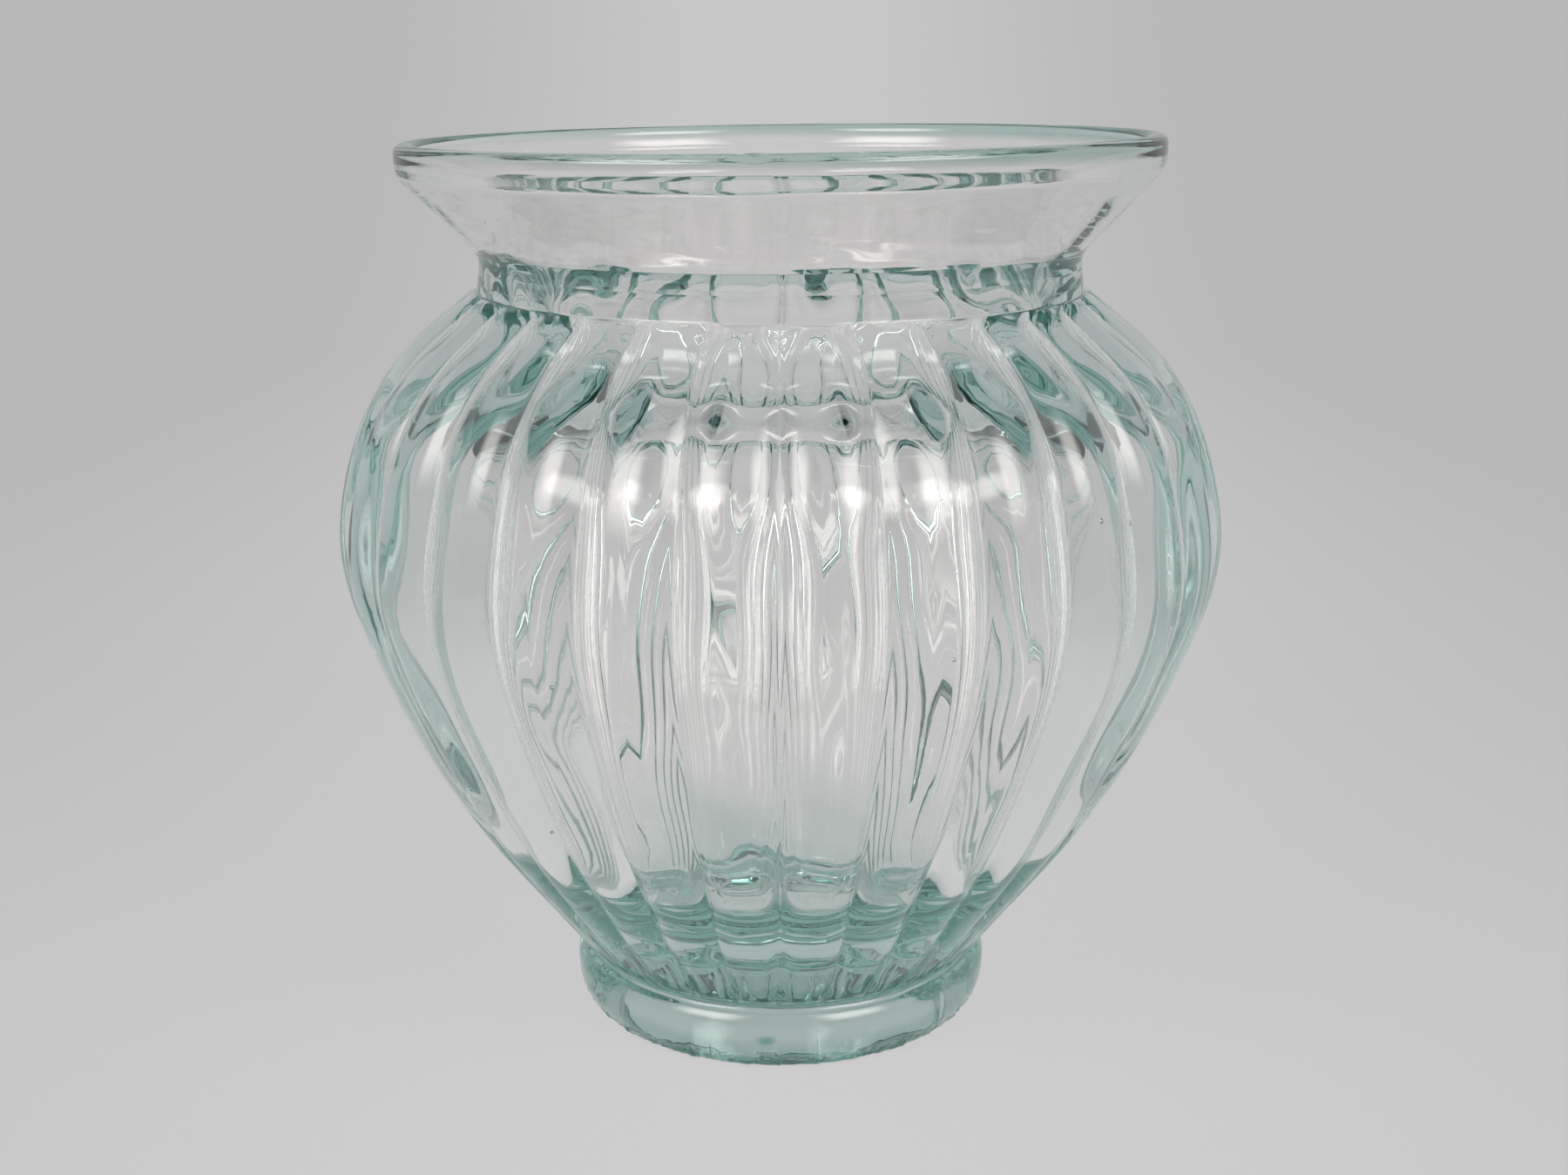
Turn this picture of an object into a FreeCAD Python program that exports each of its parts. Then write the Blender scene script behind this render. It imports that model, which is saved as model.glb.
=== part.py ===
import FreeCAD, Part
import math
import os

# Ribbed glass urn vase, in millimetres. The vase stands on Z = 0 with its axis on +Z,
# and a groove between two ribs faces -Y. The glass is held as three sections, one for
# each section of the mould: the foot, the ribbed bowl and the flared collar.

# Heights, each measured up from the one before it
foot_side_height = 8.0
foot_crown_height = 3.1
foot_waist_height = 1.3
lower_bowl_height = 79.6
upper_bowl_height = 47.7
neck_height = 6.9
flare_height = 15.6
rim_band_height = 5.2

# Outer radii and the small steps away from them
foot_radius = 40.6
foot_taper = 3.1
foot_side_bulge = 0.9
foot_crown_reach = 1.0
foot_crown_bulge = 0.35
foot_waist_depth = 1.7
belly_radius = 82.5
neck_radius = 55.2
neck_spread = 0.8
rib_ledge = 1.4
rim_radius = 69.9

# The hollow under the foot leaves a flat ring to stand on
bearing_width = 7.0
hollow_depth = 9.0
hollow_draft = 2.4
hollow_crown = 0.6

# Ribs: convex arcs that meet in sharp grooves
rib_count = 30
rib_depth = 3.3
first_groove_angle = -90.0

# Wall, floor and rim thicknesses
bowl_wall = 3.6
neck_wall = 3.6
rim_wall = 3.4
rim_inner_depth = 3.9
base_thickness = 24.3
floor_radius = 26.0

# The bowl's outline: shares of the height, of the radius gained and of the rib's depth.
# The lower table runs from the waist up to the belly, the upper one from there to the neck.
lower_outline_shares = [
    (0.000, 0.000, 0.15),
    (0.158, 0.221, 0.33),
    (0.347, 0.478, 0.60),
    (0.573, 0.720, 0.86),
    (0.799, 0.903, 0.98),
    (1.000, 1.000, 1.00),
]
upper_outline_shares = [
    (0.2935, 0.949, 1.00),
    (0.5870, 0.755, 0.92),
    (0.8176, 0.420, 0.73),
    (0.9224, 0.182, 0.50),
    (1.0000, 0.000, 0.30),
]
# The inside wall keeps its thickness from this row of the lower table to the upper table's
# first row. From there it runs in under the shoulder to the bore, where the glass is thickest:
# shares of the height left and of the radius from the bore out to that row's wall.
first_wall_row = 2
last_wall_row = len(lower_outline_shares)
inner_shoulder_shares = [
    (0.315, 0.872),
    (0.427, 0.722),
    (0.599, 0.282),
    (0.683, 0.115),
    (0.783, 0.022),
]

# Worked-out heights and radii
foot_edge_z = foot_side_height + foot_crown_height
foot_top_z = foot_edge_z + foot_waist_height
belly_z = foot_top_z + lower_bowl_height
shoulder_z = belly_z + upper_bowl_height
flare_z = shoulder_z + neck_height
rim_band_z = flare_z + flare_height
rim_top_z = rim_band_z + rim_band_height
bearing_radius = foot_radius - foot_taper
hollow_radius = bearing_radius - bearing_width
waist_radius = foot_radius - foot_waist_depth
neck_foot_radius = neck_radius + neck_spread
shoulder_radius = neck_foot_radius + rib_ledge
bore_radius = neck_radius - neck_wall
rim_inner_radius = rim_radius - rim_wall


def point(radius, height):
    """A point of a turned outline, in the XZ plane."""
    return FreeCAD.Vector(radius, 0, height)


def line(start, end):
    """A straight edge."""
    return Part.makeLine(start, end)


def bowed(start, end, bulge):
    """An arc from start to end whose middle stands off the chord by the bulge, to its right."""
    chord = end - start
    away = FreeCAD.Vector(chord.z, 0, -chord.x).normalize() * bulge
    return Part.Arc(start, (start + end) * 0.5 + away, end).toShape()


def turned(edges):
    """The solid that a closed outline sweeps when it turns once about Z."""
    face = Part.Face(Part.Wire(edges))
    return face.revolve(FreeCAD.Vector(0, 0, 0), FreeCAD.Vector(0, 0, 1), 360)


def outline_rows():
    """The bowl's rows from waist to neck: height, crest radius and groove depth."""
    rows = []
    for height_share, radius_share, rib_share in lower_outline_shares:
        height = foot_top_z + lower_bowl_height * height_share
        radius = waist_radius + (belly_radius - waist_radius) * radius_share
        rows.append((height, radius, rib_depth * rib_share))
    for height_share, radius_share, rib_share in upper_outline_shares:
        height = belly_z + upper_bowl_height * height_share
        radius = shoulder_radius + (belly_radius - shoulder_radius) * radius_share
        rows.append((height, radius, rib_depth * rib_share))
    return rows


def ribbed_section(height, crest_radius, depth):
    """A closed wire of one arc for each rib, from groove to groove over the crest."""
    pitch = 2 * math.pi / rib_count
    start = math.radians(first_groove_angle)

    def at(radius, turns):
        angle = start + turns * pitch
        return FreeCAD.Vector(radius * math.cos(angle), radius * math.sin(angle), height)

    grooves = [at(crest_radius - depth, rib) for rib in range(rib_count)]
    edges = []
    for rib in range(rib_count):
        crest = at(crest_radius, rib + 0.5)
        following = grooves[(rib + 1) % rib_count]
        edges.append(Part.Arc(grooves[rib], crest, following).toShape())
    return Part.Wire(edges)


def make_foot():
    """The foot: a domed hollow, a flat bearing ring, a bulging side and a waist."""
    dome_reach = hollow_radius - hollow_draft
    dome_radius = (dome_reach ** 2 + hollow_crown ** 2) / (2 * hollow_crown)
    half_way = dome_reach / 2
    dome_z = hollow_depth - dome_radius + math.sqrt(dome_radius ** 2 - half_way ** 2)
    crown_of_dome = point(0, hollow_depth)
    dome_edge = point(dome_reach, hollow_depth - hollow_crown)
    dome = Part.Arc(crown_of_dome, point(half_way, dome_z), dome_edge).toShape()
    side = point(foot_radius, foot_side_height)
    edge = point(foot_radius - foot_crown_reach, foot_edge_z)
    waist = point(waist_radius, foot_top_z)
    middle = point(0, foot_top_z)
    return turned([
        dome,
        line(dome_edge, point(hollow_radius, 0)),
        line(point(hollow_radius, 0), point(bearing_radius, 0)),
        bowed(point(bearing_radius, 0), side, foot_side_bulge),
        bowed(side, edge, foot_crown_bulge),
        line(edge, waist),
        line(waist, middle),
        line(middle, crown_of_dome),
    ])


def make_cavity():
    """The hollow of the bowl: a flat floor, a smooth wall behind the ribs and a low shoulder."""
    rows = outline_rows()
    wall_points = [point(floor_radius, base_thickness)]
    for height, radius, depth in rows[first_wall_row:last_wall_row + 1]:
        wall_radius = radius - depth - bowl_wall
        wall_points.append(point(wall_radius, height))
    for height_share, radius_share in inner_shoulder_shares:
        wall_points.append(point(
            bore_radius + (wall_radius - bore_radius) * radius_share,
            height + (shoulder_z - height) * height_share))
    wall_points.append(point(bore_radius, shoulder_z))
    wall = Part.BSplineCurve()
    wall.interpolate(Points=wall_points)
    floor_middle = point(0, base_thickness)
    top_middle = point(0, shoulder_z)
    return turned([
        line(floor_middle, wall_points[0]),
        wall.toShape(),
        line(wall_points[-1], top_middle),
        line(top_middle, floor_middle),
    ])


def make_bowl():
    """The ribbed bowl: one smooth skin through the ribbed sections, less its cavity."""
    sections = [ribbed_section(*row) for row in outline_rows()]
    return Part.makeLoft(sections, True, False).cut(make_cavity())


def make_collar():
    """The neck, the flare and the upright band of the rim, rounded over at the top."""
    neck_foot = point(neck_foot_radius, shoulder_z)
    throat = point(neck_radius, flare_z)
    band_low = point(rim_radius, rim_band_z)
    band_high = point(rim_radius, rim_top_z - rim_wall / 2)
    crown = point(rim_radius - rim_wall / 2, rim_top_z)
    inner_high = point(rim_inner_radius, rim_top_z - rim_wall / 2)
    inner_low = point(rim_inner_radius, rim_top_z - rim_inner_depth)
    bore_high = point(bore_radius, flare_z)
    bore_low = point(bore_radius, shoulder_z)
    return turned([
        line(neck_foot, throat),
        line(throat, band_low),
        line(band_low, band_high),
        Part.Arc(band_high, crown, inner_high).toShape(),
        line(inner_high, inner_low),
        line(inner_low, bore_high),
        line(bore_high, bore_low),
        line(bore_low, neck_foot),
    ])


sections_of_glass = {
    "foot": make_foot(),
    "ribbed_bowl": make_bowl(),
    "flared_collar": make_collar(),
}
os.makedirs("parts", exist_ok=True)
for name, shape in sections_of_glass.items():
    shape.exportStep("parts/" + name + ".step")
    print(name, shape.isValid(), len(shape.Solids), round(shape.Volume / 1000, 2), "cm3")
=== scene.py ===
import bpy
import numpy as np
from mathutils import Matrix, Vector


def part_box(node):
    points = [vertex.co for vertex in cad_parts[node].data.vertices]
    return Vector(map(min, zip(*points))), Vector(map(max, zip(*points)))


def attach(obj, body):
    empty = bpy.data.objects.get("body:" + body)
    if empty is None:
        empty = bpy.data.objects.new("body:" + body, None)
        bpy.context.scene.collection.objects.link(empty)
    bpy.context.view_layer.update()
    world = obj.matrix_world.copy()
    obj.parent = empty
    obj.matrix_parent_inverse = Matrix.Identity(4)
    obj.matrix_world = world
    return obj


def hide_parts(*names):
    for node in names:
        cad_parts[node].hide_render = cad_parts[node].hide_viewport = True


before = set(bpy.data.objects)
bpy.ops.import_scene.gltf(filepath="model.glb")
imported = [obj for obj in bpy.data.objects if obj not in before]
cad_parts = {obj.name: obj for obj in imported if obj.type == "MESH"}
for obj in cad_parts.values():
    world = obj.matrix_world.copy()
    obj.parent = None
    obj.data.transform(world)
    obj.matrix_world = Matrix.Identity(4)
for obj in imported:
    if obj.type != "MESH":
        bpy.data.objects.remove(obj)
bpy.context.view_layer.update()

# The vase
# One piece of thick soda-lime glass, made in a ribbed mould and fire-polished. It stands on a
# ring foot, swells into thirty convex ribs, and opens through a plain neck to a flared rim.
mm = 0.001
_, foot_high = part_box("foot")
_, bowl_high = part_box("ribbed_bowl")
_, collar_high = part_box("flared_collar")

foot_radius = foot_high.x
foot_taper = 3.1 * mm
hollow_radius = 30.5 * mm
hollow_depth = 9.0 * mm
hollow_draft = 2.4 * mm
hollow_crown = 0.6 * mm
bearing_radius = foot_radius - foot_taper
waist_depth = 1.7 * mm
waist_height = foot_high.z
waist_radius = foot_radius - waist_depth
belly_height = 92.0 * mm
belly_radius = bowl_high.x
rib_count = 30
rib_depth = 3.3 * mm
rib_power = 2.8
rib_ledge = 1.4 * mm
groove_rounding_share = 0.06
shoulder_height = bowl_high.z
neck_foot_radius = 56.0 * mm
shoulder_radius = neck_foot_radius + rib_ledge
neck_radius = 55.2 * mm
neck_height = 6.9 * mm
neck_wall = 3.6 * mm
flare_height = shoulder_height + neck_height
rim_radius = collar_high.x
rim_height = collar_high.z
rim_band = 5.2 * mm
rim_wall = 3.4 * mm
rim_inner_depth = 3.9 * mm
bowl_wall = 3.6 * mm
bore_radius = neck_radius - neck_wall
bore_length = 4.3 * mm
bore_top = shoulder_height + bore_length
floor_height = 24.3 * mm
floor_radius = 26.0 * mm

# Shares of the height, of the radius gained and of the rib's depth: from the waist up to the
# belly, then from the belly up to the shoulder
lower_outline_shares = [
    (0.000, 0.000, 0.15), (0.158, 0.221, 0.33), (0.347, 0.478, 0.60),
    (0.573, 0.720, 0.86), (0.799, 0.903, 0.98), (1.000, 1.000, 1.00),
]
upper_outline_shares = [
    (0.2935, 0.949, 1.00), (0.5870, 0.755, 0.92), (0.8176, 0.420, 0.73),
    (0.9224, 0.182, 0.50), (1.0000, 0.000, 0.30),
]
# The inside wall is even over these rows of the two tables together, then runs in nearly level
# under the shoulder: shares of the height from the last even wall up to the shoulder, and of
# the radius from the bore out to that wall
even_wall_rows = slice(2, 7)
inner_shoulder_shares = [
    (0.315, 0.872), (0.427, 0.722), (0.615, 0.282), (0.710, 0.115), (0.810, 0.022), (0.920, 0.000),
]
# Where rows are added on a straight line: from and to these shares of its length
straight_shares = (0.1, 0.82)


def smooth_curve(points, count):
    """Samples a natural cubic spline through the points, spaced evenly by their chords.

    Its bends m solve h[i-1] m[i-1] + 2 (h[i-1] + h[i]) m[i] + h[i] m[i+1] = 6 times the change
    of slope at point i, where h is the chord, and there is no bend at either end.
    """
    points = np.asarray(points, float)
    chords = np.linalg.norm(np.diff(points[:, :2], axis=0), axis=1)
    slopes = np.diff(points, axis=0) / chords[:, None]
    inner = np.arange(1, len(points) - 1)
    system = np.eye(len(points))
    system[inner, inner - 1] = chords[:-1]
    system[inner, inner] = 2 * (chords[:-1] + chords[1:])
    system[inner, inner + 1] = chords[1:]
    change = np.zeros_like(points)
    change[1:-1] = 6 * np.diff(slopes, axis=0)
    bends = np.linalg.solve(system, change)
    knots = np.concatenate([[0], np.cumsum(chords)])
    along = np.linspace(0, knots[-1], count)
    span = np.clip(np.searchsorted(knots, along, side="right") - 1, 0, len(chords) - 1)
    after = ((along - knots[span]) / chords[span])[:, None]
    before = 1 - after
    straight = before * points[span] + after * points[span + 1]
    bent = (before ** 3 - before) * bends[span] + (after ** 3 - after) * bends[span + 1]
    return straight + chords[span][:, None] ** 2 / 6 * bent


def eased_corners(corners, easings, count, between=()):
    """Rows round each inner corner of a run of straight lines, count of them at each.

    At a corner the rows follow (1-s)^2 A + 2 s (1-s) P + s^2 B, where P is the corner and A and
    B lie on its two lines at its easing from it. The run's two ends stay as they are. Each
    (corner number, row count) in between adds that many rows on the line after that corner.
    """
    corners = np.asarray(corners, float)
    extra = dict(between)
    rows = [corners[:1]]
    for number, (before, corner, after) in enumerate(zip(corners, corners[1:], corners[2:]), 1):
        easing = easings[number - 1]
        share = np.linspace(0, 1, count)[:, None]
        start = corner + (before - corner) * easing / np.linalg.norm(before - corner)
        end = corner + (after - corner) * easing / np.linalg.norm(after - corner)
        back = 1 - share
        rows.append(back ** 2 * start + 2 * share * back * corner + share ** 2 * end)
        if number in extra:
            share = np.linspace(*straight_shares, extra[number])[:, None]
            rows.append(end * (1 - share) + after * share)
    rows.append(corners[-1:])
    return np.concatenate(rows)


def rib_rows(shares, low, high, inner_radius, outer_radius):
    """Rows of crest radius, height and rib depth from a table of shares."""
    shares = np.asarray(shares)
    height = low + (high - low) * shares[:, 0]
    radius = inner_radius + (outer_radius - inner_radius) * shares[:, 1]
    return np.column_stack([radius, height, rib_depth * shares[:, 2]])


def round_rows(rows, ripple=0.0):
    """Rows of radius and height without ribs, with the ripple that the ribs leave on them."""
    none = np.zeros(len(rows))
    return np.column_stack([rows[:, :2], none, none, none + ripple])


# Each run below is a list of (radius, height) places on the outline, a little inside or outside
# the named sizes where one run meets the next
# Foot: a domed hollow, the flat bearing ring, the bulging side and the step up to the waist
under_rows = eased_corners(
    [(0.2 * hollow_radius, hollow_depth), (hollow_radius - hollow_draft, hollow_depth - hollow_crown),
     (hollow_radius - 0.2 * mm, 1.0 * mm)],
    [3.0 * mm], count=7)
bearing_rows = eased_corners(
    [(hollow_radius - 0.2 * mm, 0.8 * mm), (hollow_radius, 0.0), (bearing_radius, 0.0),
     (bearing_radius + 0.9 * mm, 0.9 * mm)],
    [0.5 * mm, 0.5 * mm], count=3, between=[(1, 4)])[1:-1]
foot_rows = smooth_curve([
    (bearing_radius + 0.85 * mm, 0.85 * mm), (foot_radius - 0.55 * mm, 3.6 * mm),
    (foot_radius, 7.2 * mm), (foot_radius - 0.3 * mm, 9.6 * mm),
    (foot_radius - 1.1 * mm, 11.0 * mm)], count=20)
recess_rows = eased_corners(
    [(foot_radius - 1.3 * mm, 11.15 * mm), (foot_radius - 2.3 * mm, 11.5 * mm),
     (foot_radius - 2.4 * mm, 12.9 * mm), (waist_radius - 0.2 * mm, waist_height + 0.6 * mm)],
    [0.5 * mm, 0.4 * mm], count=3)

# Ribbed bowl: the ribs end in scallops over the foot and in arches under the neck, where their
# grooves stand higher or lower than their crests
outline_rows = np.concatenate([
    rib_rows(lower_outline_shares, waist_height, belly_height, waist_radius, belly_radius),
    rib_rows(upper_outline_shares, belly_height, shoulder_height, shoulder_radius, belly_radius),
])
waist_margin = 0.7 * mm
ribbed_rows = smooth_curve(outline_rows, count=72)
ribbed_rows = ribbed_rows[ribbed_rows[:, 1] > waist_height + waist_margin]
scallop_lift = 1.2 * mm
arch_drop = 1.3 * mm
blend_height = 9.0 * mm
foot_blend = np.clip((waist_height + blend_height - ribbed_rows[:, 1]) / blend_height, 0, 1)
neck_blend = np.clip((ribbed_rows[:, 1] - shoulder_height + blend_height) / blend_height, 0, 1)
groove_lift = scallop_lift * foot_blend ** 2 - arch_drop * neck_blend ** 2

# Collar: the neck, the flare, the rounded rim and the funnel back down to the bore
collar_rows = eased_corners(
    [(neck_foot_radius + 0.3 * mm, shoulder_height + 0.15 * mm),
     (neck_foot_radius, shoulder_height + 0.3 * mm),
     (neck_radius, flare_height), (rim_radius - 0.1 * mm, rim_height - rim_band - 0.5 * mm),
     (rim_radius, rim_height - rim_wall / 2)],
    [0.25 * mm, 2.0 * mm, 1.5 * mm], count=4, between=[(2, 13)])
lip_steps = 8
over = np.linspace(0, np.pi, lip_steps + 1)[1:]
lip_rows = np.column_stack([rim_radius - rim_wall / 2 + rim_wall / 2 * np.cos(over),
                            rim_height - rim_wall / 2 + rim_wall / 2 * np.sin(over)])
throat_rows = eased_corners(
    [(rim_radius - rim_wall, rim_height - rim_wall / 2 - 0.1 * mm),
     (rim_radius - rim_wall, rim_height - rim_inner_depth),
     (bore_radius, flare_height), (bore_radius, bore_top)],
    [1.8 * mm, 2.5 * mm], count=4, between=[(1, 12)])

# Inside wall: even up to above the belly, then in under the shoulder to the bore, and down to
# the floor. The ribs leave a ripple on it, strongest under the shoulder.
wall_points = [(radius - depth - bowl_wall, height)
               for radius, height, depth in outline_rows[even_wall_rows]]
wall_radius, wall_top = wall_points[-1]
wall_points += [(bore_radius + (wall_radius - bore_radius) * radius_share,
                 wall_top + (shoulder_height - wall_top) * height_share)
                for height_share, radius_share in inner_shoulder_shares]
wall_points = [(floor_radius, floor_height)] + wall_points + [(bore_radius, bore_top)]
wall_rows = smooth_curve(wall_points, count=48)[::-1][1:]
floor_row_shares = np.linspace(0.85, 0.12, 5)
floor_rows = np.column_stack([floor_row_shares * floor_radius, np.full(len(floor_row_shares), floor_height)])
ripple_share = 0.10
ripple_heights = [108 * mm, 119 * mm, 128 * mm, 136 * mm]
ripple_gains = [1.0, 3.0, 3.0, 0.0]
shoulder_gain = np.interp(wall_rows[:, 1], ripple_heights, ripple_gains)
rib_depth_there = np.interp(wall_rows[:, 1], outline_rows[:, 1], outline_rows[:, 2])
wall_ripple = ripple_share * shoulder_gain * rib_depth_there

# The columns of a row: crest radius, height, rib depth, how far the grooves are lifted, and
# the size of the ripple
outer_rows = np.concatenate([
    round_rows(under_rows), round_rows(bearing_rows), round_rows(foot_rows), round_rows(recess_rows),
    np.column_stack([ribbed_rows, groove_lift, np.zeros_like(groove_lift)]),
    round_rows(collar_rows), round_rows(lip_rows),
])
inner_rows = np.concatenate([
    round_rows(throat_rows), round_rows(wall_rows, wall_ripple), round_rows(floor_rows),
])
rows = np.concatenate([outer_rows, inner_rows])
is_inner = np.arange(len(rows))[:, None] >= len(outer_rows)

# The points round a row crowd towards the grooves, and a groove faces the camera's side
points_per_rib = 14
half_rib = np.pi / rib_count
across = np.sin(np.linspace(-1, 1, points_per_rib + 1)[:-1] * np.pi / 2) * half_rib
first_crest = -np.pi / 2 + half_rib
azimuth = (first_crest + 2 * half_rib * np.arange(rib_count)[:, None] + across).ravel()[None, :]
from_crest = np.tile(across, rib_count)[None, :]


def rib_radius(crest, depth, angle):
    """The radius of a rib's broad back at an angle from its crest.

    It falls by depth * |angle / half_rib| ** rib_power from crest to groove, and each groove's
    sharp bottom is eased by a hyperbola.
    """
    above_groove = depth * (1 - np.abs(angle / half_rib) ** rib_power)
    return crest - depth + np.sqrt(above_groove ** 2 + (groove_rounding_share * depth) ** 2)


def wave_sum(size, turns, phases, starts):
    """The sum of waves round the axis, size * cos(turns * azimuth + phase + start) each."""
    return sum(size * np.cos(turn_count * azimuth + phase + start)
               for turn_count, phase, start in zip(turns, phases, starts))


def bell(place, middle, half_width):
    """A bell curve of height 1: exp(-((place - middle) / half_width) ** 2)."""
    return np.exp(-((place - middle) / half_width) ** 2)


def arc_from(degrees, at_radius):
    """How far each point stands round the axis from an azimuth, along a circle of that radius."""
    return np.angle(np.exp(1j * (azimuth - np.radians(degrees)))) * at_radius


crest = rows[:, 0][:, None]
depth = rows[:, 2][:, None]
ribbed = depth > 0
radius = np.where(ribbed, rib_radius(crest, depth, from_crest), crest)
radius = radius + rows[:, 4][:, None] * np.cos(np.pi * from_crest / half_rib)
into_groove = np.divide(crest - radius, depth, out=np.zeros_like(radius), where=ribbed)
height = rows[:, 1][:, None] + rows[:, 3][:, None] * into_groove

# The inside was never touched by the mould, so its wall is uneven: waves of a few directions
# and lengths, as a sum of cosines of whole turns about the axis and of the height. They rise
# from nothing at a share of the floor's radius, and fade out under the lip.
uneven = np.random.default_rng(7)
wave_count = 26
wave_size = 0.03 * mm
wave_lengths = (22 * mm, 90 * mm)
wave_turns = uneven.integers(2, 30, wave_count)
wave_rise = 2 * np.pi / uneven.uniform(*wave_lengths, wave_count) * uneven.choice([-1, 1], wave_count)
wave_start = uneven.uniform(0, 2 * np.pi, wave_count)
waves = wave_sum(wave_size, wave_turns, [rise * height for rise in wave_rise], wave_start)
calm_share = 0.4
rising_share = 0.8
lip_fade = 4 * mm
on_wall = np.clip((radius - calm_share * floor_radius) / (rising_share * floor_radius), 0, 1)
below_lip = np.clip((rim_height - rim_inner_depth - height) / lip_fade, 0, 1)
radius = radius + waves * on_wall * below_lip * is_inner

# The floor is uneven in the same way
floor_wave_size = 0.12 * mm
floor_wave_turns = [2, 3, 5, 7, 11]
floor_wave_rate = 260
floor_fade = 6 * mm
floor_phases = [floor_wave_rate * radius] * len(floor_wave_turns)
floor_waves = wave_sum(floor_wave_size, floor_wave_turns, floor_phases, wave_start[7:])
near_floor = np.clip((floor_height + floor_fade - height) / floor_fade, 0, 1)
off_middle = np.clip(radius / (calm_share * floor_radius), 0, 1)
height = height + floor_waves * near_floor * off_middle * is_inner

# The flare shows faint uneven rings from its shaping
ring_size = 0.016 * mm
ring_reach = 8 * mm
ring_turns = [1, 2, 5, 9, 14, 23, 31]
ring_pitches = [1.7, 2.6, 3.9, 2.1, 3.1, 4.7, 5.9]
ring_phases = [2 * np.pi * height / (pitch * mm) for pitch in ring_pitches]
rings = wave_sum(ring_size, ring_turns, ring_phases, wave_start)
flare_middle = (flare_height + rim_height - rim_band) / 2
throat_margin = 1.6 * mm
on_flare = np.clip(1 - ((height - flare_middle) / ring_reach) ** 2, 0, 1)
radius = radius + rings * on_flare * (radius > bore_radius + throat_margin)

# The foot stands on a knurled edge: small uneven notches and a fine grain round the bearing
# ring's outer corner, a stippled ring inside them, and soft waves round the hollow's wall
notch_depth = 0.2 * mm
points_per_notch = 3
notch_shift = 7
notch_z = 1.2 * mm
notch_half_height = 1.1 * mm
notch_reach = 1.5 * mm
lifted_from = 0.3 * mm
notches = np.repeat(uneven.uniform(-1, 1, azimuth.size // points_per_notch), points_per_notch)[None, :]
on_edge = bell(height, notch_z, notch_half_height)
on_edge = on_edge * (radius > bearing_radius - notch_reach) * ~is_inner
radius = radius + notch_depth * notches * on_edge
height = height + notch_depth * np.roll(notches, notch_shift) * on_edge * (height > lifted_from)
hollow_wave_size = 0.3 * mm
hollow_wave_turns = 11
hollow_wave_rate = 700
hollow_wall_share = 0.8
hollow_wall_low = 0.9 * mm
on_hollow_wall = (radius < hollow_radius) & (radius > hollow_wall_share * hollow_radius)
in_hollow = ~is_inner & on_hollow_wall & (height > hollow_wall_low)
hollow_waves = hollow_wave_size * np.cos(hollow_wave_turns * azimuth + hollow_wave_rate * height)
radius = radius + hollow_waves * in_hollow
grain_size = 0.14 * mm
grain_z = 1.6 * mm
grain_half_height = 1.6 * mm
grain_margin = 0.2 * mm
grain = grain_size * uneven.normal(size=radius.shape)
on_side = bell(height, grain_z, grain_half_height)
on_side = on_side * (radius > bearing_radius + grain_margin) * ~is_inner
radius = radius + grain * on_side
stipple_size = 0.12 * mm
stipple_top = 0.9 * mm
stipple = stipple_size * np.abs(uneven.normal(size=radius.shape))
height = height + stipple * (height < stipple_top) * (radius < bearing_radius) * ~is_inner

# A small plain pip stands on the foot's side, a little left of the middle, and the mould's seams
# show as fine ridges on the foot and on the flare
pip_height = 0.8 * mm
pip_half_side = 1.6 * mm
pip_z = 5.5 * mm
pip_degrees = -93.7
from_pip = (arc_from(pip_degrees, foot_radius) ** 4 + (height - pip_z) ** 4) ** 0.25 / pip_half_side
radius = radius + pip_height * np.exp(-from_pip ** 6) * (radius > bearing_radius) * ~is_inner
seam_height = 0.14 * mm
seam_half_width = 0.7 * mm
foot_seam_top = 11 * mm
seam_places = [(-93, flare_height, rim_height), (87, flare_height, rim_height),
               (-42, 0.0, foot_seam_top), (138, 0.0, foot_seam_top)]
for seam_degrees, seam_low, seam_high in seam_places:
    across_seam = bell(arc_from(seam_degrees, crest), 0, seam_half_width)
    on_seam = across_seam * (height > seam_low) * (height < seam_high)
    radius = radius + seam_height * on_seam * (crest > bearing_radius) * ~is_inner

# This vase's rim leans a little to one side above the neck
rim_lean = 0.9 * mm
lean_share = np.clip((height - shoulder_height) / (rim_height - rim_band - shoulder_height), 0, 1)
height = height + rim_lean * radius * np.cos(azimuth) / rim_radius * lean_share


def points_at(radius, angle, height):
    """Points from their distance from the axis, their angle round it and their height."""
    places = np.broadcast_arrays(radius * np.cos(angle), radius * np.sin(angle), height)
    return np.stack(places, axis=-1)


def quads_between(ring_count, point_count):
    """The quads from each ring of points to the next, with the points numbered ring by ring."""
    ring, point = np.meshgrid(np.arange(ring_count - 1), np.arange(point_count), indexing="ij")
    following = (point + 1) % point_count
    here = ring * point_count
    above = here + point_count
    return np.stack([here + point, here + following, above + following, above + point],
                    axis=-1).reshape(-1, 4)


def closed_skin(rings, first_pole, last_pole):
    """The points and faces of a skin over rings of points, closed at both ends round a pole."""
    ring_count, point_count = rings.shape[:2]
    point = np.arange(point_count)
    following = (point + 1) % point_count
    last_ring = (ring_count - 1) * point_count
    pole = np.full(point_count, ring_count * point_count)
    fans = np.concatenate([np.stack([pole, following, point], axis=-1),
                           np.stack([pole + 1, last_ring + point, last_ring + following], axis=-1)])
    points = np.concatenate([rings.reshape(-1, 3), [first_pole, last_pole]])
    return points, quads_between(ring_count, point_count).tolist() + fans.tolist()


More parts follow.
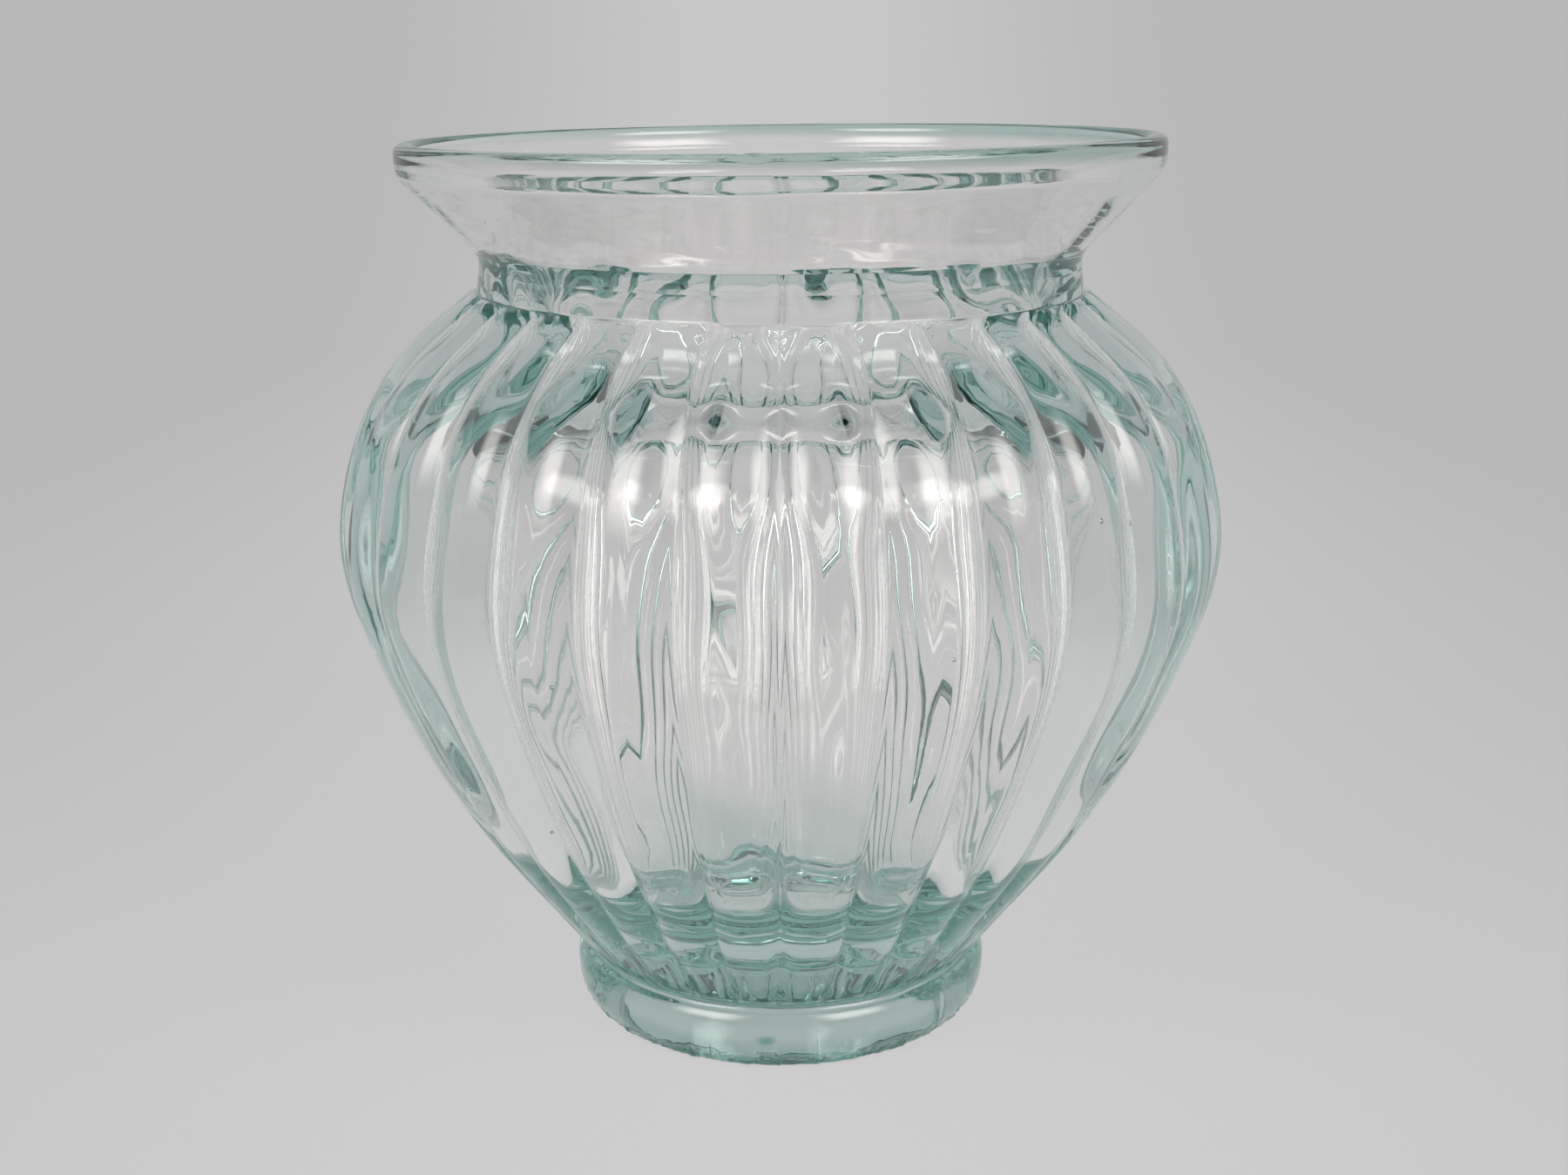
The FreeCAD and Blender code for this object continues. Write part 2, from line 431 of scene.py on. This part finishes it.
def new_object(name, points, faces):
    """A smooth-shaded mesh object, linked to the scene."""
    mesh = bpy.data.meshes.new(name)
    mesh.from_pydata(np.asarray(points, float).tolist(), [], faces)
    mesh.polygons.foreach_set("use_smooth", np.ones(len(mesh.polygons), bool))
    made = bpy.data.objects.new(name, mesh)
    bpy.context.scene.collection.objects.link(made)
    return made


points, faces = closed_skin(points_at(radius, azimuth, height), (0, 0, hollow_depth), (0, 0, floor_height))

# Seeds, the small bubbles of cheap glass: closed balls in the wall that face their own middles.
# Each has a radius, an azimuth in degrees, a distance from the axis and a height.
seed_places = [
    (0.20 * mm, -141, 62.0 * mm, 155.6 * mm), (0.45 * mm, -44, 78.5 * mm, 107.0 * mm),
    (0.35 * mm, -70, 77.6 * mm, 90.0 * mm), (0.40 * mm, -118, 77.4 * mm, 84.0 * mm),
    (0.35 * mm, -128, 64.0 * mm, 52.0 * mm), (0.45 * mm, -98, 34.0 * mm, 15.0 * mm),
    (0.40 * mm, -60, 31.0 * mm, 14.0 * mm), (0.40 * mm, 70, 78.5 * mm, 100.0 * mm),
]
seed_sides = 12
seed_rings = 7
polar = np.linspace(0, np.pi, seed_rings + 2)[1:-1, None]
around = np.linspace(0, 2 * np.pi, seed_sides + 1)[:-1]
ball_rings = points_at(np.sin(polar), around, np.cos(polar))
ball_points, ball_faces = closed_skin(ball_rings, (0, 0, 1), (0, 0, -1))
for seed_radius, seed_degrees, from_axis, seed_height in seed_places:
    middle = points_at(from_axis, np.radians(seed_degrees), seed_height)
    faces += [[corner + len(points) for corner in face] for face in ball_faces]
    points = np.concatenate([points, middle + seed_radius * ball_points])

vase = new_object("vase_glass", points, faces)
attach(vase, "root")
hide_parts("foot", "ribbed_bowl", "flared_collar")


# The glass
# Soda-lime glass with a trace of iron: clear in a thin wall and aqua where it is thick.
def colour(hex_value):
    """An sRGB colour, written as a hex value, as linear red, green, blue and an alpha of 1."""
    channels = np.array([int(hex_value[i:i + 2], 16) for i in (1, 3, 5)]) / 255
    linear = np.where(channels <= 0.04045, channels / 12.92, ((channels + 0.055) / 1.055) ** 2.4)
    return (*linear.tolist(), 1.0)


def bare_material(name):
    """A new material with an empty node tree."""
    material = bpy.data.materials.new(name)
    material.use_nodes = True
    material.node_tree.nodes.clear()
    return material


def add_node(material, kind, links=(), **settings):
    """Adds a node and links (output, input name or number) pairs to it.

    A setting goes to the node's own property of that name, or else to its input socket, where
    the name's underlines stand for spaces.
    """
    node = material.node_tree.nodes.new(kind)
    for name, value in settings.items():
        if hasattr(node, name):
            setattr(node, name, value)
        else:
            node.inputs[name.replace("_", " ")].default_value = value
    for output, name in links:
        material.node_tree.links.new(output, node.inputs[name])
    return node


def ramp(material, output, low, high, at_low, at_high):
    """A smooth change from one value to another, as the output goes from low to high."""
    node = add_node(material, "ShaderNodeMapRange", [(output, "Value")], interpolation_type="SMOOTHSTEP",
                    From_Min=low, From_Max=high, To_Min=at_low, To_Max=at_high)
    return node.outputs["Result"]


def joined(material, operation, first, second):
    """The sum, product or other mathematical operation of two outputs, or of one and a number."""
    node = add_node(material, "ShaderNodeMath", [(first, 0)], operation=operation)
    if isinstance(second, float):
        node.inputs[1].default_value = second
    else:
        material.node_tree.links.new(second, node.inputs[1])
    return node.outputs[0]


def object_axes(material):
    """The X, Y and Z outputs of a point's place in its object."""
    place = add_node(material, "ShaderNodeTexCoord")
    return add_node(material, "ShaderNodeSeparateXYZ", [(place.outputs["Object"], "Vector")]).outputs


soda_lime = bare_material("soda_lime_glass")
# Light runs a long way inside the rim's lip, the bowl's base and the foot's edge, so they look
# deeper in colour: the surface takes a tint by its height. The dark teal at the foot's lower edge is
# partly painted shade, where the foot stands on the paper. Each tint has a start and an end height, a share
# at each, and a colour.
up = object_axes(soda_lime)["Z"]
skin = add_node(soda_lime, "ShaderNodeRGB").outputs[0]
skin.default_value = (1.0, 0.97, 0.972, 1.0)
depth_and_shade_tints = [
    (rim_height - 3.4 * mm, rim_height - 0.8 * mm, 0.0, 1.0, "#c9ded9"),
    (12.0 * mm, 27.0 * mm, 1.0, 0.0, "#d2e0dd"),
    # Painted shade: the foot's lower edge is darkened to deep teal, on top of its long-path tint
    (1.0 * mm, 3.8 * mm, 1.0, 0.0, "#5f9c93"),
]
for low, high, at_low, at_high, depth_and_shade_tint in depth_and_shade_tints:
    share = ramp(soda_lime, up, low, high, at_low, at_high)
    mixed = add_node(soda_lime, "ShaderNodeMix", [(share, "Factor"), (skin, "A")], data_type="RGBA",
                     B=colour(depth_and_shade_tint))
    skin = mixed.outputs["Result"]
glass = add_node(soda_lime, "ShaderNodeBsdfPrincipled", [(skin, "Base Color")],
                 Roughness=0.0, IOR=1.52, Transmission_Weight=1.0)
tint = add_node(soda_lime, "ShaderNodeVolumeAbsorption", Color=colour("#59c3b8"), Density=11.0)
add_node(soda_lime, "ShaderNodeOutputMaterial",
         [(glass.outputs["BSDF"], "Surface"), (tint.outputs[0], "Volume")])
vase.data.materials.append(soda_lime)

# The table and backdrop
# A round cove of pale grey paper: a flat floor that rises on every side into a low wall, and
# higher behind the vase
cove_floor = 0.9
cove_wall = 1.5
cove_height = 0.9
higher_behind_share = 0.5
cove_sides = 96
rise_steps = 16
turn = np.linspace(0, 2 * np.pi, cove_sides + 1)[:-1]
rise = np.linspace(0, np.pi / 2, rise_steps + 1)
floor_rings = [0.02, 0.3, 0.6]
cove_radius = cove_floor + (cove_wall - cove_floor) * np.sin(rise)
cove_radius = np.concatenate([floor_rings, cove_radius, [cove_wall]])
cove_z = (cove_wall - cove_floor) * (1 - np.cos(rise))
cove_z = np.concatenate([np.zeros(len(floor_rings)), cove_z, [cove_height]])
behind = (cove_z[:, None] == cove_height) * np.clip(np.sin(turn), 0, 1)
cove_rings = points_at(cove_radius[:, None], turn, cove_z[:, None] * (1 + higher_behind_share * behind))
facing_in = [0, 3, 2, 1]
cove_faces = quads_between(len(cove_z), len(turn))[:, facing_in].tolist() + [list(range(len(turn)))]
cove = new_object("paper_cove", cove_rings.reshape(-1, 3), cove_faces)

# The paper is matt to the light, but most of what the camera sees of it, in the glass too, is a
# glow of its own. That glow is a painted pool of light: lightest in the middle, darker at the sides
# and on the camera's side, and painted a little lighter again through the glass.
glow_share = 0.85
gain_through_glass = 0.1
paper = bare_material("matt_grey_paper")
path = add_node(paper, "ShaderNodeLightPath")
seen = joined(paper, "MAXIMUM", path.outputs["Is Camera Ray"], path.outputs["Is Glossy Ray"])
seen = joined(paper, "MAXIMUM", seen, path.outputs["Is Transmission Ray"])
glow_here = joined(paper, "MULTIPLY", seen, glow_share)
# Painted light: the glow fades towards the sides and the camera as if lit from the middle
axes = object_axes(paper)
aside = joined(paper, "ABSOLUTE", axes["X"], 0.0)
from_behind_camera = ramp(paper, axes["Y"], low=-1.2, high=-0.35, at_low=0.35, at_high=1.0)
to_sides = ramp(paper, aside, low=0.0, high=0.35, at_low=1.08, at_high=0.9)
painted_light_level = joined(paper, "MULTIPLY", from_behind_camera, to_sides)
through_glass = joined(paper, "MULTIPLY", path.outputs["Is Transmission Ray"], gain_through_glass)
glow_gain = joined(paper, "ADD", through_glass, 1.0)
painted_light_level = joined(paper, "MULTIPLY", glow_gain, painted_light_level)
matt = add_node(paper, "ShaderNodeBsdfDiffuse", Color=colour("#bcbcbc"))
glow = add_node(paper, "ShaderNodeEmission", [(painted_light_level, "Strength")], Color=colour("#cccccc"))
sheet = add_node(paper, "ShaderNodeMixShader",
                 [(glow_here, 0), (matt.outputs[0], 1), (glow.outputs[0], 2)])
add_node(paper, "ShaderNodeOutputMaterial", [(sheet.outputs[0], "Surface")])
cove.data.materials.append(paper)

# The light
# Two soft boxes stand beside the camera, brightest in their middles and fading to their edges.
# The room above the paper is dim, which draws the dark shapes in the thick glass.
aim = Vector((0, 0, 0.08))
box_azimuth = 43
box_elevation = 34
box_distance = 0.9
box_width = 0.72
box_height = 0.68
box_radiance = 8.0
solid_share = 0.25


def at(azimuth_degrees, elevation_degrees, distance):
    """A place around the vase: azimuth from the camera's side, positive to the right."""
    sideways, upwards = np.radians([azimuth_degrees, elevation_degrees])
    level = np.cos(upwards)
    return Vector((np.sin(sideways) * level, -np.cos(sideways) * level, np.sin(upwards))) * distance + aim


def add_panel(name, place, wide, tall, material):
    """A flat panel that faces the vase, with UVs from -1 to 1 across it, unseen by the camera."""
    sides = [(-1, -1), (1, -1), (1, 1), (-1, 1)]
    corners = [(side * wide / 2, end * tall / 2, 0) for side, end in sides]
    panel = new_object(name, corners, [(0, 1, 2, 3)])
    panel.data.uv_layers.new(name="from_middle").data.foreach_set("uv", np.ravel(sides).tolist())
    panel.data.materials.append(material)
    panel.location = place
    panel.rotation_euler = (place - aim).to_track_quat("Z", "Y").to_euler()
    panel.visible_camera = False


def fading_to_edges(material):
    """1 in the panel's middle, falling smoothly to 0 at its edges from the solid share outwards."""
    place = add_node(material, "ShaderNodeTexCoord")
    outwards = add_node(material, "ShaderNodeVectorMath", [(place.outputs["UV"], 0)], operation="ABSOLUTE")
    sides = add_node(material, "ShaderNodeSeparateXYZ", [(outwards.outputs[0], "Vector")])
    across_panel = ramp(material, sides.outputs["X"], solid_share, high=1.0, at_low=1.0, at_high=0.0)
    up_panel = ramp(material, sides.outputs["Y"], solid_share, high=1.0, at_low=1.0, at_high=0.0)
    return joined(material, "MULTIPLY", across_panel, up_panel)


soft_light = bare_material("soft_light")
strength = joined(soft_light, "MULTIPLY", fading_to_edges(soft_light), box_radiance)
lit = add_node(soft_light, "ShaderNodeEmission", [(strength, "Strength")], Color=colour("#fffaf6"))
add_node(soft_light, "ShaderNodeOutputMaterial", [(lit.outputs[0], "Surface")])
for name, side_azimuth in (("left_soft_box", -box_azimuth), ("right_soft_box", box_azimuth)):
    place = at(side_azimuth, box_elevation, box_distance)
    add_panel(name, place, box_width, box_height, soft_light)

scene = bpy.context.scene
world = bpy.data.worlds.new("studio")
world.use_nodes = True
world.node_tree.nodes["Background"].inputs["Color"].default_value = colour("#626463")
scene.world = world
scene.view_settings.view_transform = "Standard"
scene.cycles.max_bounces = 32
scene.cycles.transmission_bounces = 24
scene.cycles.glossy_bounces = 16

# The camera
# It looks a little down on the vase from about two and a third belly widths away.
camera_data = bpy.data.cameras.new("camera")
camera_data.lens = 46.61
camera_data.sensor_width = 36.0
camera_pitch_down = 0.255
camera = bpy.data.objects.new("camera", camera_data)
camera.location = (0.65 * mm, -380 * mm, 181.1 * mm)
camera.rotation_euler = (np.pi / 2 - camera_pitch_down, 0, 0)
scene.collection.objects.link(camera)
scene.camera = camera
